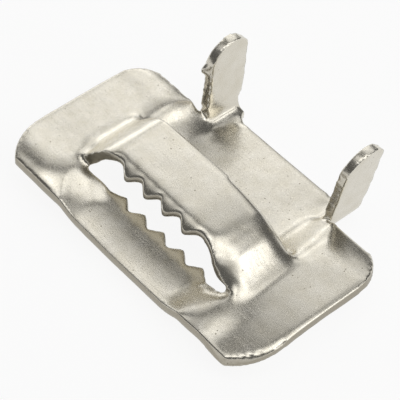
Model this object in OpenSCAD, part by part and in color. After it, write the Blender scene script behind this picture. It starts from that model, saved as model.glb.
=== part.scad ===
// Toothed strapping buckle with two fold-over ears, pressed from one piece of
// stainless sheet. It takes a steel band of one width, 15.9 mm (5/8 of an inch).
// X runs across the band, Y runs along it from the toothed lip to the ears, and
// Z points up. The origin is under the middle of the buckle, on the surface that
// the tongue rests on.

/* [Band] */
// Width of the band that the buckle takes
band_w = 15.9; // [12.7:0.1:19.1]
// Play of the band between the two ears
ear_play = 0.6; // [0.3:0.05:1]

/* [Sheet] */
// Thickness of the steel
sheet_t = 1.1; // [0.8:0.05:1.3]

/* [Plate] */
// Length across the band, over the rounded ends
plate_l = 34.8; // [32:0.2:40]
// Distance from the front edge to the back edge
plate_w = 18.3; // [17:0.1:22]
// How far the rounded ends bulge out past the straight front and back edges
end_bulge = 2.4; // [1.8:0.1:3]
// Radius of the two front corners of the outline
front_corner_r = 6.5; // [5:0.1:8]
// Radius of the two back corners of the outline
back_corner_r = 4.6; // [3.6:0.1:6]
// How far the front and back edges droop below the middle of the end plates
edge_droop = 0.85; // [0.3:0.05:1.2]
// Width of the drooping strip along the front and back edges
droop_w = 4.2; // [3:0.1:4.2]

/* [Toothed slot] */
// Distance from the band's edge to each end of the slot
slot_reach = 3.25; // [2.6:0.05:4]
// Number of teeth on the bridge; the lip has one more
bridge_teeth = 4; // [2:1:4]
// Distance from one tooth to the next
tooth_pitch = 2.77; // [2.3:0.01:2.9]
// Height of a tooth, from its sharp root to its round tip
tooth_h = 1; // [0.6:0.05:1.2]
// Radius of a tooth's tip
tooth_tip_r = 0.45; // [0.25:0.05:0.6]
// Gap between the teeth of the bridge and those of the lip, seen from above
slot_gap = 0.12; // [0.08:0.01:0.3]
// Roots of the lip's teeth, measured forward from the middle of the plate
lip_root = 4.65; // [4.4:0.05:5.2]

/* [Lip and tongue] */
// How far the toothed lip is pressed below the end plates
lip_drop = 1.6; // [1:0.05:2]
// Length of the slope at each end of the lip, seen from above
lip_slope_l = 5.4; // [4.5:0.1:6.5]
// How far the tongue is pressed below the end plates
tongue_drop = 2.9; // [2.2:0.05:3.4]
// Length of the slope at each side of the tongue, seen from above
tongue_slope_l = 5.7; // [4.8:0.1:5.8]
// Bends of both slopes, as a share of the largest that fit
press_bend_share = 0.72; // [0.6:0.02:0.95]
// How far the tongue reaches behind the plate, between the ears
tongue_reach = 3.3; // [2.8:0.1:3.8]
// Radius of the fillet from the tongue's end to an ear
tongue_fillet_r = 1.3; // [0.8:0.1:1.8]

/* [Bridge] */
// Height of the bridge above the end plates
bridge_rise = 3.15; // [2.6:0.05:4]
// Length of each ramp of the bridge, seen from above
ramp_l = 5.8; // [5:0.1:6.6]
// Bends of the ramps, as a share of the largest that fit
ramp_bend_share = 0.88; // [0.7:0.02:0.96]
// How far the ramps reach past the ends of the slot
foot_reach = 0.8; // [0.3:0.1:1.2]
// Back edge of the bridge, measured from the middle of the plate
bridge_back = 2.9; // [2:0.1:3.6]

/* [Ears] */
// Height of the ears above the underside of the tongue
ear_h = 10.1; // [8:0.1:12]
// Width of an ear along the band, at its root
ear_w = 4.4; // [3.6:0.1:5.2]
// How far the front edge of an ear leans back over its height
ear_lean = 1.1; // [0.5:0.05:1.6]
// How far the back edge of an ear leans back over its height
ear_back_lean = 0.9; // [0.4:0.05:1.3]
// Outward splay of the ears from upright, in degrees
ear_splay = 5; // [0:0.5:9]
// Inside radius of the fold at the root of an ear
fold_r = 0.9; // [0.7:0.05:1.2]
// Radius of the round front corner at the top of an ear
ear_tip_r = 2.4; // [1.8:0.1:2.6]
// Width of the slit between the plate's back edge and an ear
slit_w = 0.25; // [0.15:0.05:0.5]
// How far the slits run in over the flat of the tongue
slit_reach = 0.3; // [0.1:0.1:0.8]

/* [Hidden] */
// Flat steps that draw one arc
arc_steps = 10;
// Share of an ear's height at which its back corner stands
ear_back_share = 0.9;
// Slope of an ear's top edge where it leaves the round corner, in degrees
ear_top_slope = 20;
// Overrun of every cut
over = 1;
// Room that holds the whole buckle, for the cutting prisms
room = plate_l + plate_w;
// Level of the middle of the end plates' upper side
plate_z = sheet_t + tongue_drop;
// Half lengths over the ears' inner faces, the slot and the bridge's feet
ear_in = (band_w + ear_play) / 2;
slot_half = band_w / 2 + slot_reach;
foot_half = slot_half + foot_reach;
// Half lengths of the flat parts of the bridge, the lip and the tongue
bridge_half = foot_half - ramp_l;
lip_half = slot_half - lip_slope_l;
tongue_half = foot_half - tongue_slope_l;
// Half length of the neck between the slits, and where the ears' folds start
neck_half = tongue_half - slit_reach;
fold_x = ear_in - fold_r;
// Front and back edges of the plate
edge_y = plate_w / 2;
// Front edge of the ears, and the furthest point of the whole buckle behind
ear_front = edge_y + slit_w;
ear_back = ear_front + ear_w;
back_y = ear_back + ear_back_lean;
// Shift that centres the buckle on the origin
centre_y = (edge_y - back_y) / 2;
// Roots of the bridge's teeth
bridge_root = lip_root - tooth_h - slot_gap;
// Radius of the droop of the front and back edges, and where it starts
droop_r = (pow(droop_w, 2) + pow(edge_droop, 2)) / (2 * edge_droop);
droop_y = edge_y - droop_w;
steel = [0.80, 0.78, 0.73];

// Points along an arc about c, from the angle a0 to a1
function arc(c, r, a0, a1) =
    [for (i = [0 : arc_steps]) let (a = a0 + (a1 - a0) * i / arc_steps) c + r * [cos(a), sin(a)]];

function flipped(points) = [for (i = [len(points) - 1 : -1 : 0]) [-points[i][0], points[i][1]]];

function reversed(points) = [for (i = [len(points) - 1 : -1 : 0]) points[i]];

// A line that is the same on both sides of the middle, from its right half
function both_halves(right) = concat(flipped(right), right);

// Radius of two equal bends that join two levels, as a share of the largest
function bend_r(run, rise, share) = share * (run * run + rise * rise) / (4 * rise);

// Slope of the straight stretch between two bends whose radii add up to both_r
function slope(run, rise, both_r) =
    let (dz = rise - both_r, d = sqrt(run * run + dz * dz)) atan2(dz, run) + asin(both_r / d);

// Upper side of a sheet that is low in the middle and steps up, or the line that
// lies depth under it
function rising_step(x0, x1, z0, z1, share, depth) =
    let (r = bend_r(x1 - x0, z1 - z0, share), a = slope(x1 - x0, z1 - z0, 2 * r))
    concat(
        arc([x0, z0 + r], r + depth, -90, a - 90),
        arc([x1, z1 - r], r - depth, a + 90, 90));

// The same for a sheet that is high in the middle and comes down
function falling_step(x0, x1, z0, z1, share, depth) =
    let (r = bend_r(x1 - x0, z0 - z1, share), a = slope(x1 - x0, z0 - z1, 2 * r))
    concat(
        arc([x0, z0 - r], r - depth, 90, 90 - a),
        arc([x1, z1 + r], r + depth, -90 - a, -90));

// A section drawn in X and Z, run along the whole of Y
module along_y() {
    translate([0, room, 0]) rotate([90, 0, 0]) linear_extrude(height = 2 * room) children();
}

// A section drawn in Y and Z, run along the whole of X
module along_x() {
    rotate([90, 0, 90]) translate([0, 0, -room]) linear_extrude(height = 2 * room) children();
}

// A plan drawn in X and Y, run up through the whole height
module upright() {
    translate([0, 0, -room]) linear_extrude(height = 2 * room) children();
}

// Everything below a line that ends level on both sides
module below(line) {
    last = line[len(line) - 1];
    polygon(concat([[-room, -room], [-room, last[1]]], line, [[room, last[1]], [room, -room]]));
}

// Everything below the crowned plate, drawn in Y and Z. depth is the distance
// under its upper side
module below_crown(depth) {
    reach = asin((droop_w + over) / droop_r);
    right = arc([droop_y, plate_z - droop_r], droop_r - depth, 90, 90 - reach);
    line = both_halves(right);
    polygon(concat([[line[0][0], -room]], line, [[-line[0][0], -room]]));
}

// Everything below the plate with its middle pressed down by drop
module below_pressed(depth, drop, flat_half, top_half) {
    intersection() {
        along_x() below_crown(depth);
        along_y() below(both_halves(
            rising_step(flat_half, top_half, plate_z - drop, plate_z, press_bend_share, depth)));
    }
}

module pressed_sheet(drop, flat_half, top_half) {
    difference() {
        below_pressed(0, drop, flat_half, top_half);
        below_pressed(sheet_t, drop, flat_half, top_half);
    }
}

module crowned_sheet() {
    difference() {
        along_x() below_crown(0);
        along_x() below_crown(sheet_t);
    }
}

// Upper or under side of the bridge, right half
function bridge_line(depth) =
    falling_step(bridge_half, foot_half, plate_z + bridge_rise, plate_z, ramp_bend_share, depth);

module arched_sheet() {
    along_y() polygon(concat(both_halves(bridge_line(0)), reversed(both_halves(bridge_line(sheet_t)))));
}

// Round end of the plate, from its nib on the edge to its furthest point
function end_arc(r) =
    let (nib = acos((r - end_bulge) / r)) arc([plate_l / 2 - r, edge_y - r * sin(nib)], r, nib, 0);

module plate_outline() {
    back = end_arc(back_corner_r);
    front = [for (p = reversed(end_arc(front_corner_r))) [p[0], -p[1]]];
    right = concat(back, front);
    polygon(concat(right, reversed([for (p = right) [-p[0], p[1]]])));
}

// Zigzag of count teeth that stand up from the height 0. Their roots are sharp,
// and each flank runs from a root to where it touches the round tip
function tooth_line(count) =
    let (rise = tooth_h - tooth_tip_r,
        reach = sqrt(pow(tooth_pitch / 2, 2) + rise * rise),
        lean = atan2(rise, tooth_pitch / 2) + asin(tooth_tip_r / reach))
    [for (i = [0 : count - 1])
        let (x = (i - (count - 1) / 2) * tooth_pitch)
        for (p = concat(
            [[x - tooth_pitch / 2, 0]],
            arc([x, rise], tooth_tip_r, 90 + lean, 90 - lean),
            i == count - 1 ? [[x + tooth_pitch / 2, 0]] : [])) p];

// Everything in front of the slot, with the lip's teeth
module in_front_of_slot() {
    teeth = [for (p = tooth_line(bridge_teeth + 1)) [p[0], p[1] - lip_root]];
    polygon(concat([[-room, -room], [-room, -lip_root]], teeth, [[room, -lip_root], [room, -room]]));
}

// The bridge seen from above: its teeth point forward, and its front edge runs
// out to the end of the slot and on to the end plate
module bridge_plan() {
    teeth = [for (p = tooth_line(bridge_teeth)) [p[0], -bridge_root - p[1]]];
    polygon(concat(
        [[-foot_half, bridge_back], [-foot_half, -lip_root], [-slot_half, -lip_root]],
        teeth,
        [[slot_half, -lip_root], [foot_half, -lip_root], [foot_half, bridge_back]]));
}

// The space behind the tongue's end, between the roots of the ears
module between_ears_plan() {
    end_y = edge_y + tongue_reach;
    r = min(tongue_fillet_r, ear_back - end_y);
    polygon(both_halves(concat(arc([fold_x - r, end_y + r], r, -90, 0), [[fold_x, room]])));
}

// The tongue's end with both ears folded up, drawn in X and Z
module folded_section() {
    c = [fold_x, fold_r + sheet_t];
    up = 2 * ear_h * [sin(ear_splay), cos(ear_splay)];
    outer = arc(c, fold_r + sheet_t, -90, -ear_splay);
    inner = arc(c, fold_r, -90, -ear_splay);
    polygon(concat(
        both_halves(concat(outer, [outer[arc_steps] + up])),
        reversed(both_halves(concat(inner, [inner[arc_steps] + up])))));
}

// The ear seen from its side, drawn in Y and Z
module ear_outline() {
    tip_c = [ear_front + ear_lean + ear_tip_r, ear_h - ear_tip_r];
    fold_top = fold_r + sheet_t;
    polygon(concat(
        [[ear_front, -over], [ear_front, fold_top]],
        arc(tip_c, ear_tip_r, 180, 90 - ear_top_slope),
        [[back_y, ear_h * ear_back_share], [ear_back, fold_top], [ear_back, -over]]));
}

module folded_end() {
    difference() {
        intersection() {
            along_y() folded_section();
            along_x() ear_outline();
        }
        upright() between_ears_plan();
    }
    translate([-neck_half, edge_y - over]) linear_extrude(height = sheet_t)
        square([2 * neck_half, over + slit_w + over]);
}

module lip() {
    intersection() {
        pressed_sheet(lip_drop, lip_half, slot_half);
        upright() plate_outline();
        upright() in_front_of_slot();
    }
}

module tongue() {
    intersection() {
        pressed_sheet(tongue_drop, tongue_half, foot_half);
        upright() plate_outline();
        upright() translate([-room, bridge_back]) square([2 * room, room]);
    }
}

// The right end plate, outside the bridge's foot
module end_plate() {
    intersection() {
        crowned_sheet();
        upright() plate_outline();
        upright() translate([foot_half, -lip_root]) square([room, lip_root + bridge_back]);
    }
}

module bridge() {
    intersection() {
        arched_sheet();
        upright() bridge_plan();
    }
}

module buckle() {
    color(steel) translate([0, centre_y, 0]) {
        lip();
        bridge();
        tongue();
        folded_end();
        for (side = [0, 1]) mirror([side, 0, 0]) end_plate();
    }
}

buckle();
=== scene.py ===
# %% [markdown]
# # A strapping buckle, pressed from one piece of stainless sheet
# The CAD part gives the exact shape in flat facets with knife-sharp edges. The real
# buckle has been stamped, folded and tumbled in a drum with small stones, so its
# bends are soft, its edges are rounded, and its skin has a satin sheen with fine
# pits and scratches. This file dresses the CAD part with that shape and finish.

import math

import bmesh
import bpy
from mathutils import Matrix, Vector, noise


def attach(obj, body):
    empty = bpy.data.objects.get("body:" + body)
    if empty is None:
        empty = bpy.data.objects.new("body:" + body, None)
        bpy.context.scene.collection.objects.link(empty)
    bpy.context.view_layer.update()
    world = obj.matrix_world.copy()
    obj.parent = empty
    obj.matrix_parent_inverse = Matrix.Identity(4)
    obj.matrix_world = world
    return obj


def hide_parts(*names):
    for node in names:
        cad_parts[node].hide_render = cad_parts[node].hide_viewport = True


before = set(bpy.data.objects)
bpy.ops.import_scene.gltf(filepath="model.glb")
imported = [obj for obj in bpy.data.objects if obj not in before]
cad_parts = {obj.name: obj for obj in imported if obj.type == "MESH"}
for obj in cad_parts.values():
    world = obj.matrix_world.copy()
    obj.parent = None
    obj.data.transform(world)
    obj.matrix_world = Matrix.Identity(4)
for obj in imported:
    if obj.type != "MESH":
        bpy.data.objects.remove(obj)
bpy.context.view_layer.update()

MM = 0.001

# %% [markdown]
# ## The camera
# The photograph was taken from the front right, looking down at about 49 degrees,
# with a long lens. The camera is placed first, so that every later piece can be
# judged from the same place. A lens of 148.5 mm on a 36 mm sensor has the weak
# perspective that the plate's far corners show.

# %% Place the camera
CAMERA_PLACE = Vector((73.13, -73.01, 121.45)) * MM
CAMERA_RIGHT = Vector((0.65913, 0.75066, 0.04546))
CAMERA_UP = Vector((-0.58882, 0.47754, 0.65211))

camera_data = bpy.data.cameras.new("camera")
camera_data.lens = 148.5
camera_data.sensor_width = 36
camera_data.clip_start = 0.01
camera_data.clip_end = 10
camera = bpy.data.objects.new("camera", camera_data)
bpy.context.scene.collection.objects.link(camera)
camera.matrix_world = Matrix.Translation(CAMERA_PLACE) @ Matrix(
    (CAMERA_RIGHT, CAMERA_UP, CAMERA_RIGHT.cross(CAMERA_UP))
).transposed().to_4x4()
bpy.context.scene.camera = camera
print("camera looks along", [round(v, 2) for v in -CAMERA_RIGHT.cross(CAMERA_UP)])

# %% [markdown]
# ## The tumbled body
# The CAD mesh has long thin triangles, which can't be bent or smoothed. A voxel
# remesh turns it into an even skin of small squares, fine enough for the teeth and
# the slits, and that skin can be pushed and smoothed anywhere.

# %% Copy the CAD mesh and give it an even skin
VOXEL = 0.15 * MM


def merged_copy(node, name):
    """A copy of a CAD node's mesh, with its loose triangles joined."""
    bm = bmesh.new()
    bm.from_mesh(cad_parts[node].data)
    bmesh.ops.remove_doubles(bm, verts=bm.verts, dist=0.0005 * MM)
    mesh = bpy.data.meshes.new(name)
    bm.to_mesh(mesh)
    bm.free()
    piece = bpy.data.objects.new(name, mesh)
    bpy.context.scene.collection.objects.link(piece)
    return piece


def apply_modifiers(piece):
    """Bakes a piece's modifiers into its mesh."""
    seen = piece.evaluated_get(bpy.context.evaluated_depsgraph_get())
    mesh = bpy.data.meshes.new_from_object(seen)
    piece.modifiers.clear()
    piece.data = mesh


buckle = merged_copy("buckle", "pressed_buckle")
skin = buckle.modifiers.new("even skin", "REMESH")
skin.mode = "VOXEL"
skin.voxel_size = VOXEL
apply_modifiers(buckle)
print("even skin:", len(buckle.data.polygons), "faces")

# %% [markdown]
# ## What the press did
# The CAD part is the designer's drawing. The real sheet moved a little more under
# the press: the bridge leans to the left, its ramps bulge, its teeth are turned
# down, the teeth of the lip are turned up, and the front edge sags between its
# corners. Each of these is a smooth push of the skin by a fraction of a millimetre,
# written as a small function of place. Blender's sculpt tools could do the same by
# hand, but a function says what was meant and gives the same result each time.

# %% Helpers for the pushes
# All lengths of the pushes are in mm. V runs across the plate from the line halfway
# between its two long edges, so the front edge is at V = -9.15.
PLATE_TOP = 4.0
PLATE_MIDDLE = -2.775
# The notches between the lip's teeth end at ROOTS_V, and the back edges of the bridge
# and of the plate are at BRIDGE_BACK_V and BACK_V.
ROOTS_V, BRIDGE_BACK_V, BACK_V = -4.65, 2.9, 9.15


def ease(t):
    """0 below 0, 1 above 1, and smooth between."""
    t = max(0.0, min(1.0, t))
    return t * t * (3 - 2 * t)


def hump(t):
    """1 at 0, falling smoothly to 0 at -1 and 1."""
    return ease(1 - abs(t))


def along(points, x):
    """A smooth curve through (x, value) points."""
    for (x0, v0), (x1, v1) in zip(points, points[1:]):
        if x < x1:
            return v0 + (v1 - v0) * ease((x - x0) / (x1 - x0))
    return points[-1][1]


def push(bm, move):
    """Moves every vertex by what move(x, v, z, normal) gives, in mm."""
    bm.normal_update()
    furthest = 0
    steps = []
    for vert in bm.verts:
        x, y, z = vert.co / MM
        steps.append(Vector(move(x, y - PLATE_MIDDLE, z, vert.normal)) * MM)
        furthest = max(furthest, steps[-1].length / MM)
    for vert, step in zip(bm.verts, steps):
        vert.co += step
    print(f"{move.__name__}: at most {furthest:.2f} mm")


# %% Push the bridge and its teeth
def bridge_leans(x, v, z, normal):
    """The bridge stands a little to the left of its slot."""
    if not -5.2 < v < BRIDGE_BACK_V + 0.3:
        return 0, 0, 0
    size = 0.15 + 0.3 * ease((-v - 2.2) / 1.3) if x > 0 else 0.3
    front = 0.25 * ease((-v - 3) / 0.8) * hump((x - 8.8) / 1.9)
    return -size * ease((z - PLATE_TOP + 0.2) / 1.5), -front, 0


def ramps_bulge(x, v, z, normal):
    """The ramps are fuller than a straight bend, the right one most."""
    if v > BRIDGE_BACK_V + 0.4 or z < PLATE_TOP - 1.5 or v < -4.6 or abs(x) < 6:
        return 0, 0, 0
    if x < 0:
        across = ease((v + 3.9) / 1.9) * (1 - 0.35 * ease((v - 1) / 2))
        return 0, 0, 0.35 * hump((x + 10.4) / 2.6) * across
    dome = ease((x - 7.2) / 2) * max(0.0, 1 - max(0.0, (x - 9.3) / 2.8) ** 2)
    return 0, 0, 0.58 * dome * ease((v + 4.9) / 2.1) * (1 - 0.35 * ease((v - 1) / 2))


def right_shoulder_soft(x, v, z, normal):
    """The bridge begins to fall early towards its right ramp."""
    if z < PLATE_TOP + 0.4 or x < 2.3 or v > BRIDGE_BACK_V + 0.3 or v < -5.2:
        return 0, 0, 0
    return 0, 0, -0.016 * (x - 2.3) ** 2 * ease((10.5 - x) / 5)


def back_edge_rolls(x, v, z, normal):
    """The back edge of the bridge is rolled down towards the tongue."""
    if z < PLATE_TOP - 0.6 or not 0 < v < BRIDGE_BACK_V + 0.3:
        return 0, 0, 0
    t = max(0.0, (v - 1.3) / 1.6)
    return 0, 0, -0.5 * t * t * ease((x - 2) / 6) * ease((12.2 - x) / 2)


def front_of_ramp_scoops(x, v, z, normal):
    """Beside the slot each ramp is drawn down into a scoop."""
    if v > -1.4 or z < PLATE_TOP - 1.6 or abs(x) < 6.5 or v < -5.2:
        return 0, 0, 0
    fold = (3.7 if x > 0 else 4.1) - 0.42 * (abs(x) - 7.3)
    t = max(0.0, (-v - fold) / 1.5)
    size = 0.38 if x > 0 else 0.15
    return 0, 0, -size * min(1.4, t * t) * ease((11.2 - abs(x)) / 1.8)


def bridge_teeth_down(x, v, z, normal):
    """The teeth of the bridge point down, with a small hollow on each."""
    if z < PLATE_TOP + 0.4 or v > -2:
        return 0, 0, 0
    t = max(0.0, (-3.0 - v) / 1.5)
    dent = 0
    if normal.z > 0.2:
        for tooth in (-4.5, -1.75, 0.98, 3.75):
            dent += hump(math.hypot(x - tooth, v + 4.0) / 0.85)
    return 0, 0, -0.5 * t * t * ease((8.6 - abs(x)) / 2) - 0.32 * dent


# %% Push the lip
FRONT_SAG = (
    (-15, 0), (-12.7, -0.05), (-10.5, -0.15), (-8.3, -0.08), (-6.2, 0), (-4, -0.1), (0, -0.25),
    (4, -0.2), (6, -0.16), (8, -0.25), (10, -0.28), (11.8, -0.1), (14.6, 0.12),
)


def front_edge_sags(x, v, z, normal):
    """The front edge hangs a little, and the lip slopes evenly to it."""
    t = max(0.0, (-v - 4.95) / 4.2)
    flat = -0.85 * (t - t * t) * ease((x + 11) / 3) * ease((12 - x) / 3)
    return 0, 0, along(FRONT_SAG, x) * min(1.2, t) + flat


def lip_teeth_up(x, v, z, normal):
    """The teeth of the lip stand a little up, back and to the right."""
    if z > PLATE_TOP - 0.5 or v > -3.2 or abs(x) > 9:
        return 0, 0, 0
    on_lip = ease((8.6 - abs(x - 1)) / 1.5) * ease((v + 6) / 1.5)
    return 0.4 * on_lip, 0.15 * on_lip, 0.05 * on_lip * ease((v - ROOTS_V + 0.3) / 1.2)


def lip_corners_up(x, v, z, normal):
    """The ends of the lip are pulled up into the corners of the slot."""
    if z > PLATE_TOP or v > -4:
        return 0, 0, 0
    here = (hump((x + 7.3) / 2.3) + hump((x - 9.2) / 1.9)) * ease((v + 6) / 1.2)
    return 0, 0.27 * here, 0.2 * here


# %% Push the ends and the ears
def left_end_flatter(x, v, z, normal):
    """The left end droops less at its corners than the drawing says."""
    if z > PLATE_TOP + 1 or x > -8:
        return 0, 0, 0
    left = ease((-x - 8.5) / 4)
    back, front = ease((v - 4.6) / 4.4), ease((-v - 4.6) / 4.4)
    return 0, left * (-0.25 * back - 0.28 * front), left * (0.5 * back + 0.5 * front)


def right_end_bows(x, v, z, normal):
    """The right end is bowed down, most along its outer edge."""
    if z > PLATE_TOP + 0.6 or x < 8.5:
        return 0, 0, 0
    t = max(0.0, (-v - 4.95) / 4.2)
    bow = -0.0082 * max(0.0, 2 - v) ** 2 + 0.85 * t * t
    return 0, 0, (bow - 0.12 * ease((-v - 5) / 4)) * ease((x - 10.5) / 3.5)


def sheared_edges_flare(x, v, z, normal):
    """A sheared face leans out at its foot, where the sheet tore."""
    if z > PLATE_TOP:
        return 0, 0, 0
    side = (1 - ease((abs(normal.z) - 0.3) / 0.5)) * ease((abs(x) - 11.5) / 3)
    droop = 0.85 * ease((abs(v) - 4.95) / 4.2) ** 1.5
    low = ease((PLATE_TOP - droop - 0.35 - z) / 0.5)
    size = 0.1 + 0.16 * ease((-v - 3) / 4) + 0.1 * hump((v - 4) / 4) if x > 0 else 0.03
    return size * side * low * normal.x, size * side * low * normal.y, -0.1 * size * side * low


def ears_wider(x, v, z, normal):
    """The ears widen upwards, and the left one carries a small nub."""
    if z < 1.4 or v < 9.6 or abs(x) < 6.9:
        return 0, 0, 0
    from_front = v - 9.4 - 0.14 * max(0.0, z - 2)
    back = 0.34 * ease((z - 1.4) / 3) * ease((from_front - 1.2) / 2.4)
    front = -0.16 * ease((z - 1.8) / 2) * ease((1.6 - from_front) / 1.4)
    front -= 0.2 * hump((z - 7.6) / 2.6) * ease((1.6 - from_front) / 1.4)
    nub = hump((z - 7.5) / 0.8) * ease((0.9 - from_front) / 0.6) * ease((-x - 9.2) / 0.5)
    return -0.15 * nub, back + front - 0.6 * nub, 0


def tongue_back_fuller(x, v, z, normal):
    """The back edge of the tongue bulges between the ears."""
    on_tongue = ease((v - 9.9) / 1.2) * ease((1.6 - z) / 0.4) * ease((7.6 - abs(x)) / 0.6)
    near_ear = hump((abs(x) - 6.4) / 1.6) * ease((1.6 - z) / 0.4) * ease((v - 12) / 1)
    return 0, 0.15 * on_tongue + 0.3 * near_ear, 0


def left_slope_rounds_over(x, v, z, normal):
    """The left slope of the tongue runs out slowly at its foot."""
    if v < BRIDGE_BACK_V + 0.1 or z > PLATE_TOP + 0.6:
        return 0, 0, 0
    size = ease((v - BRIDGE_BACK_V) / 1.5) * ease((BACK_V + 0.6 - v) / 2.5)
    return 0, 0, size * (0.42 * hump((x + 6.9) / 2.9) + 0.12 * hump((x + 10.6) / 1.8))


def fold_marks(x, v, z, normal):
    """The punch that folds the ears leaves a few dents beside each fold."""
    if z > 3 or normal.z < 0.1 or v < 9:
        return 0, 0, 0
    dent = 0
    for side, at_x, at_v, wide in (
        (-1, -6.8, 11.0, 0.9), (-1, -6.6, 12.3, 0.8), (-1, -7.3, 13.1, 0.6), (1, 6.9, 11.2, 0.8),
    ):
        dent += hump(math.hypot(x - at_x, (v - at_v) * 0.9) / wide)
    return 0, 0, -0.15 * dent


def sheet_waves(x, v, z, normal):
    """Handling leaves shallow waves, and a sheared face is rough."""
    place = Vector((x, v, z))
    wave = noise.noise(place / 5.5) + 0.5 * noise.noise(place / 2.4 + Vector((7, 3, 1)))
    rough = 1 - ease((abs(normal.z) - 0.25) / 0.4)
    grain = noise.noise(Vector((x, v, z * 0.6)) / 0.42)
    return (0.03 * wave + 0.025 * rough * grain) * normal


# %% Push the skin
def smooth(bm, verts, rounds):
    """Moves each vertex halfway to the middle of its neighbours, several times."""
    for turn in range(rounds):
        bmesh.ops.smooth_vert(
            bm, verts=verts, factor=0.5, use_axis_x=True, use_axis_y=True, use_axis_z=True
        )


bm = bmesh.new()
bm.from_mesh(buckle.data)
smooth(bm, bm.verts, 1)
for move in (
    bridge_leans, ramps_bulge, right_shoulder_soft, back_edge_rolls, front_of_ramp_scoops,
    bridge_teeth_down, front_edge_sags, lip_teeth_up, lip_corners_up, left_end_flatter,
    right_end_bows, sheared_edges_flare, ears_wider, tongue_back_fuller,
    left_slope_rounds_over, fold_marks, sheet_waves,
):
    push(bm, move)

# %% [markdown]
# ## Soft bends and tumbled edges
# A press tool has rounded edges, so the sheet bends in wide curves, and the drum rounds
# whatever was sheared. A Bevel modifier could round the edges of the CAD mesh, but not
# those wide bends, so both are made by smoothing the skin. Wide bends get many rounds in
# a chosen region, the whole skin gets a few, and the calm vertices, whose faces nearly
# agree, get some more, which takes the last steps of the remesh out of the flat faces.


# %% Smooth the bends and the edges
EDGE_ROUNDS, CALM_ROUNDS, CALM_COSINE = 4, 14, 0.975


def soften(bm, rounds, chosen):
    """Smooths the vertices that chosen(x, v, z) picks."""
    verts = []
    for vert in bm.verts:
        x, y, z = vert.co / MM
        if chosen(x, y - PLATE_MIDDLE, z):
            verts.append(vert)
    smooth(bm, verts, rounds)
    print("softened", len(verts), "vertices", rounds, "times")


# The tongue's right and left slopes.
soften(bm, 150, lambda x, v, z: 4.5 < x < 14.5 and BRIDGE_BACK_V + 0.6 < v < BACK_V - 0.5)
soften(bm, 90, lambda x, v, z: -14.5 < x < -3.5 and BRIDGE_BACK_V + 0.6 < v < BACK_V - 0.5)
# The right ramp, the rolled edge behind it, and the foot of the left ramp.
soften(bm, 12, lambda x, v, z: 5 < x < 11.2 and -3.4 < v < BRIDGE_BACK_V - 0.4)
soften(
    bm, 30, lambda x, v, z: 2 < x < 11.6 and 1.5 < v < BRIDGE_BACK_V + 0.3 and z > PLATE_TOP - 0.7
)
soften(bm, 20, lambda x, v, z: -12.6 < x < -9.6 and 1.9 < v < 3.9 and z > PLATE_TOP - 1.3)
# The teeth, the right slope of the lip, and the folds of the ears.
soften(bm, 14, lambda x, v, z: abs(x) < 7 and -5 < v < -2.6)
soften(bm, 60, lambda x, v, z: 7.5 < x < 13.2 and -8.8 < v < -4.75)
soften(bm, 12, lambda x, v, z: 5.8 < abs(x) < 8.6 and v > 9.2 and z < 3)
smooth(bm, bm.verts, EDGE_ROUNDS)
bm.normal_update()
calm = [v for v in bm.verts if all(f.normal.dot(v.normal) > CALM_COSINE for f in v.link_faces)]
smooth(bm, calm, CALM_ROUNDS)
print("calm vertices smoothed:", len(calm))
for face in bm.faces:
    face.smooth = True
bm.to_mesh(buckle.data)
bm.free()

# %% [markdown]
# ## Tumbled stainless steel
# The real finish is bare stainless sheet with the dull mill skin still on it, then
# tumbled. To the eye it is a warm grey mirror that has been blurred: broad soft
# reflections, broken by shallow dings about a millimetre across, by pits and
# specks of a tenth of a millimetre, and by a few hair scratches. Where the sheet was
# sheared, the face is darker and grainier. The tumbled edges are polished, and a
# lighter colour on them is a painted highlight; a darker colour in the creases is painted shade.
# Everything is built from object coordinates in real millimetres.

# %% Helpers for materials


def linear(hex_colour):
    """An sRGB hex colour as the linear numbers that a shader takes."""
    parts = [int(hex_colour[i : i + 2], 16) / 255 for i in (1, 3, 5)]
    return [p / 12.92 if p <= 0.04045 else ((p + 0.055) / 1.055) ** 2.4 for p in parts] + [1]


def add_node(material, kind, settings=None, **links):
    """Adds a node, sets its properties and feeds its inputs.

    Input names are written with underscores; in0, in1 and so on are positions.
    """
    node = material.node_tree.nodes.new(kind)
    for name, value in (settings or {}).items():
        setattr(node, name, value)
    for name, value in links.items():
        key = int(name[2:]) if name[:2] == "in" else name.replace("_", " ")
        if isinstance(value, bpy.types.NodeSocket):
            material.node_tree.links.new(value, node.inputs[key])
        else:
            node.inputs[key].default_value = value
    return node


# %% Start the steel with coordinates in millimetres
steel = bpy.data.materials.new("tumbled_stainless_sheet")
steel.use_nodes = True
steel.node_tree.nodes.clear()
where = add_node(steel, "ShaderNodeTexCoord")
mm = add_node(
    steel, "ShaderNodeVectorMath", {"operation": "SCALE"}, Vector=where.outputs["Object"], Scale=1000.0
).outputs["Vector"]

# %% Dings, grain and pits
# A ding is 1.3 mm wide, a grain of the skin 0.14 mm, and pits are 0.7 mm apart.
DINGS_PER_MM, GRAINS_PER_MM, PITS_PER_MM = 0.75, 7.0, 1.5

dings = add_node(
    steel, "ShaderNodeTexNoise", Vector=mm, Scale=DINGS_PER_MM, Detail=2.0
).outputs["Fac"]
grain = add_node(
    steel, "ShaderNodeTexNoise", Vector=mm, Scale=GRAINS_PER_MM, Detail=3.0
).outputs["Fac"]
cells = add_node(steel, "ShaderNodeTexVoronoi", Vector=mm, Scale=PITS_PER_MM)
size = add_node(steel, "ShaderNodeSeparateColor", Color=cells.outputs["Color"]).outputs["Red"]
rim = add_node(steel, "ShaderNodeMath", {"operation": "MULTIPLY"}, in0=size, in1=-0.1).outputs[0]
rim = add_node(
    steel, "ShaderNodeMath", {"operation": "ADD"}, in0=cells.outputs["Distance"], in1=rim
).outputs[0]
pits = add_node(
    steel, "ShaderNodeMapRange", Value=rim, From_Min=-0.03, From_Max=0.03, To_Min=0.0, To_Max=1.0
).outputs["Result"]

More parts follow.
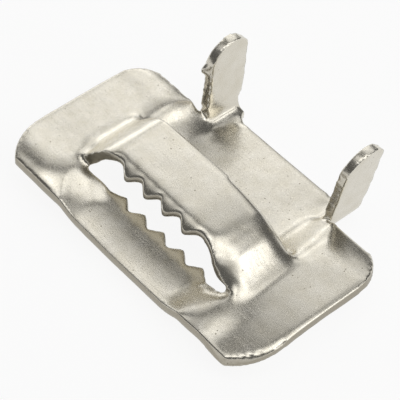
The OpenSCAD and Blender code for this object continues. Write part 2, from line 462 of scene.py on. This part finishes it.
# %% Hair scratches in two directions
# A noise is stretched along each direction, and a groove lies where it has one value.
LINE_VALUE, HALF_WIDTH = 0.56, 0.011
scratches = None
for turn, seed in ((0.5, 3.0), (-0.95, 11.0)):
    lined = add_node(
        steel, "ShaderNodeMapping", Vector=mm,
        Location=(seed, 0, 0), Rotation=(0, 0, turn), Scale=(0.3, 2.6, 0.5),
    ).outputs["Vector"]
    lines = add_node(steel, "ShaderNodeTexNoise", Vector=lined, Scale=1.0, Detail=1.0).outputs["Fac"]
    away = add_node(
        steel, "ShaderNodeMath", {"operation": "SUBTRACT"}, in0=lines, in1=LINE_VALUE
    ).outputs[0]
    away = add_node(steel, "ShaderNodeMath", {"operation": "ABSOLUTE"}, in0=away).outputs[0]
    groove = add_node(
        steel, "ShaderNodeMapRange", Value=away, From_Max=HALF_WIDTH, To_Min=0.0, To_Max=1.0
    ).outputs["Result"]
    if scratches:
        groove = add_node(
            steel, "ShaderNodeMath", {"operation": "MULTIPLY"}, in0=groove, in1=scratches
        ).outputs[0]
    scratches = groove

# %% The sheared faces, the polished edges with their painted highlight, and the painted shade in creases
# Steep faces were sheared, except on the ears, which start at Y = 6.3 mm.
direction = add_node(steel, "ShaderNodeSeparateXYZ", Vector=where.outputs["Normal"]).outputs["Z"]
steep = add_node(steel, "ShaderNodeMath", {"operation": "ABSOLUTE"}, in0=direction).outputs[0]
steep = add_node(
    steel, "ShaderNodeMapRange", Value=steep, From_Min=0.3, From_Max=0.55, To_Min=1.0, To_Max=0.0
).outputs["Result"]
forward = add_node(steel, "ShaderNodeSeparateXYZ", Vector=mm).outputs["Y"]
forward = add_node(
    steel, "ShaderNodeMapRange", Value=forward, From_Min=6.3, From_Max=6.6, To_Min=1.0, To_Max=0.0
).outputs["Result"]
sheared = add_node(
    steel, "ShaderNodeMath", {"operation": "MULTIPLY"}, in0=steep, in1=forward
).outputs[0]
bend = add_node(steel, "ShaderNodeNewGeometry").outputs["Pointiness"]
# Convex edges get a lighter colour: partly the polish of the tumbled edges, partly a painted highlight.
edge = add_node(
    steel, "ShaderNodeMapRange", Value=bend, From_Min=0.53, From_Max=0.62, To_Min=0.0, To_Max=1.0
).outputs["Result"]
# Concave creases, found by pointiness, get a darker colour: this is painted shade.
hollow = add_node(
    steel, "ShaderNodeMapRange", Value=bend, From_Min=0.47, From_Max=0.38, To_Min=0.0, To_Max=1.0
).outputs["Result"]

# %% Colour of the steel
colour = add_node(
    steel, "ShaderNodeMix", {"data_type": "RGBA"}, in0=dings, in6=linear("#C9C3B3"), in7=linear("#DCD8CE")
).outputs[2]
# After the sheared faces' own darker tone, creases take a painted shade and convex edges a painted
# highlight.
for amount, tone in ((sheared, "#A39D8F"), (hollow, "#8F8A7C"), (edge, "#EFECE4")):
    colour = add_node(
        steel, "ShaderNodeMix", {"data_type": "RGBA"}, in0=amount, in6=colour, in7=linear(tone)
    ).outputs[2]
colour = add_node(
    steel, "ShaderNodeMix", {"data_type": "RGBA"}, in0=pits, in6=linear("#968F80"), in7=colour
).outputs[2]

# %% Roughness and relief
# The relief is the sum of all the layers, in hundredths of a millimetre.
rough = add_node(
    steel, "ShaderNodeMapRange", Value=grain, From_Min=0.3, From_Max=0.7, To_Min=0.2, To_Max=0.29
).outputs["Result"]
rough = add_node(
    steel, "ShaderNodeMath", {"operation": "MULTIPLY_ADD"}, in0=sheared, in1=0.16, in2=rough
).outputs[0]
relief = None
coarse = add_node(
    steel, "ShaderNodeMath", {"operation": "MULTIPLY_ADD"}, in0=sheared, in1=0.9, in2=0.16
).outputs[0]
for height, weight in ((dings, 1.1), (grain, coarse), (pits, 0.9), (scratches, 0.14)):
    layer = add_node(
        steel, "ShaderNodeMath", {"operation": "MULTIPLY"}, in0=height, in1=weight
    ).outputs[0]
    if relief:
        layer = add_node(
            steel, "ShaderNodeMath", {"operation": "ADD"}, in0=layer, in1=relief
        ).outputs[0]
    relief = layer
bumps = add_node(steel, "ShaderNodeBump", Height=relief, Distance=0.01 * MM).outputs["Normal"]
shader = add_node(
    steel, "ShaderNodeBsdfPrincipled", Base_Color=colour, Metallic=1.0, Roughness=rough, Normal=bumps
)
add_node(steel, "ShaderNodeOutputMaterial", Surface=shader.outputs["BSDF"])
print("steel has", len(steel.node_tree.nodes), "nodes")
buckle.data.materials.clear()
buckle.data.materials.append(steel)

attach(buckle, "root")
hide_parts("buckle")

# %% [markdown]
# ## Floor and light
# The buckle lies on white paper. Bare metal shows what stands around it, so one or
# two lamps would leave it nearly black. The light is a dome of square softboxes, each
# turned towards the buckle, with a table of how bright each one is. Bright ones at
# the right make the white patches on the right ramp and on the left slope of the lip,
# those at the back left light the flat plates, and the gaps make the dark greys of
# the lip and of the bridge's shoulder. To choose them, the buckle can be rendered
# under each lamp alone, and the pictures mixed until their sum looks right.

# %% Lay the floor
bm = bmesh.new()
bmesh.ops.create_grid(bm, x_segments=1, y_segments=1, size=2)
floor_mesh = bpy.data.meshes.new("floor")
bm.to_mesh(floor_mesh)
bm.free()
floor = bpy.data.objects.new("floor", floor_mesh)
bpy.context.scene.collection.objects.link(floor)
# White matt paper. The eye and the metal see it nearly pure white, and the rest of it
# is plain paper that takes the shadow.
PAPER_WHITE = 0.88
paper = bpy.data.materials.new("white_paper_sweep")
paper.use_nodes = True
paper.node_tree.nodes.clear()
matt = add_node(paper, "ShaderNodeBsdfDiffuse", Color=linear("#FBFBFA"))
glow = add_node(paper, "ShaderNodeEmission", Color=linear("#FFFFFF"), Strength=1.0)
ray = add_node(paper, "ShaderNodeLightPath")
seen = add_node(
    paper, "ShaderNodeMath", {"operation": "ADD"},
    in0=ray.outputs["Is Camera Ray"], in1=ray.outputs["Is Glossy Ray"],
).outputs[0]
seen = add_node(
    paper, "ShaderNodeMath", {"operation": "ADD"}, in0=seen, in1=ray.outputs["Is Transmission Ray"]
).outputs[0]
seen = add_node(
    paper, "ShaderNodeMath", {"operation": "MULTIPLY"}, in0=seen, in1=PAPER_WHITE
).outputs[0]
both = add_node(
    paper, "ShaderNodeMixShader", in0=seen, in1=matt.outputs["BSDF"], in2=glow.outputs["Emission"]
)
add_node(paper, "ShaderNodeOutputMaterial", Surface=both.outputs["Shader"])
floor.data.materials.append(paper)

# %% Light the studio
LAMP_DISTANCE, LAMP_WIDE = 0.6, 0.22  # metres


def softbox(name, elevation, azimuth, brightness):
    """A square lamp that faces the buckle; brightness 1 looks paper white."""
    e, a = math.radians(elevation), math.radians(azimuth)
    data = bpy.data.lights.new(name, "AREA")
    data.size = LAMP_WIDE
    data.energy = math.pi * LAMP_WIDE**2 * brightness
    lamp = bpy.data.objects.new(name, data)
    lamp.location = LAMP_DISTANCE * Vector(
        (math.cos(e) * math.cos(a), math.cos(e) * math.sin(a), math.sin(e))
    )
    lamp.rotation_euler = (-lamp.location).to_track_quat("-Z", "Y").to_euler()
    bpy.context.scene.collection.objects.link(lamp)


# Each row is an elevation and an azimuth in degrees, and a brightness.
DOME = (
    (6, 25, 1.3), (6, 154, 1.2),
    (22, 32, 0.6), (22, 135, 1.2), (22, 161, 0.9), (22, 187, 0.6),
    (38, 0, 0.5), (38, 27, 2.4), (38, 110, 0.8), (38, 138, 1.0), (38, 166, 0.6),
    (54, 7, 1.3), (54, 39, 0.6), (54, 105, 0.5), (54, 137, 0.68), (54, 203, 0.5), (54, 334, 0.8),
    (70, 0, 1.3), (70, 51, 1.3), (70, 205, 0.6), (70, 257, 1.2), (85, 120, 0.3), (85, 240, 1.1),
)
for number, (elevation, azimuth, brightness) in enumerate(DOME):
    softbox(f"panel_{number}", elevation, azimuth, brightness)
print("softboxes:", len(DOME))

# %% The room
# A white wall stands low around the table and the rest of the room is dim.
world = bpy.data.worlds.new("studio")
bpy.context.scene.world = world
world.use_nodes = True
world.node_tree.nodes.clear()
way = add_node(world, "ShaderNodeTexCoord").outputs["Generated"]
height = add_node(world, "ShaderNodeSeparateXYZ", Vector=way).outputs["Z"]
wall = add_node(
    world, "ShaderNodeMapRange", Value=height, From_Min=0.1, From_Max=0.16, To_Min=1.0, To_Max=0.12
).outputs["Result"]
air = add_node(world, "ShaderNodeBackground", Color=(1, 1, 1, 1), Strength=wall)
add_node(world, "ShaderNodeOutputWorld", Surface=air.outputs["Background"])

bpy.context.scene.view_settings.view_transform = "Standard"
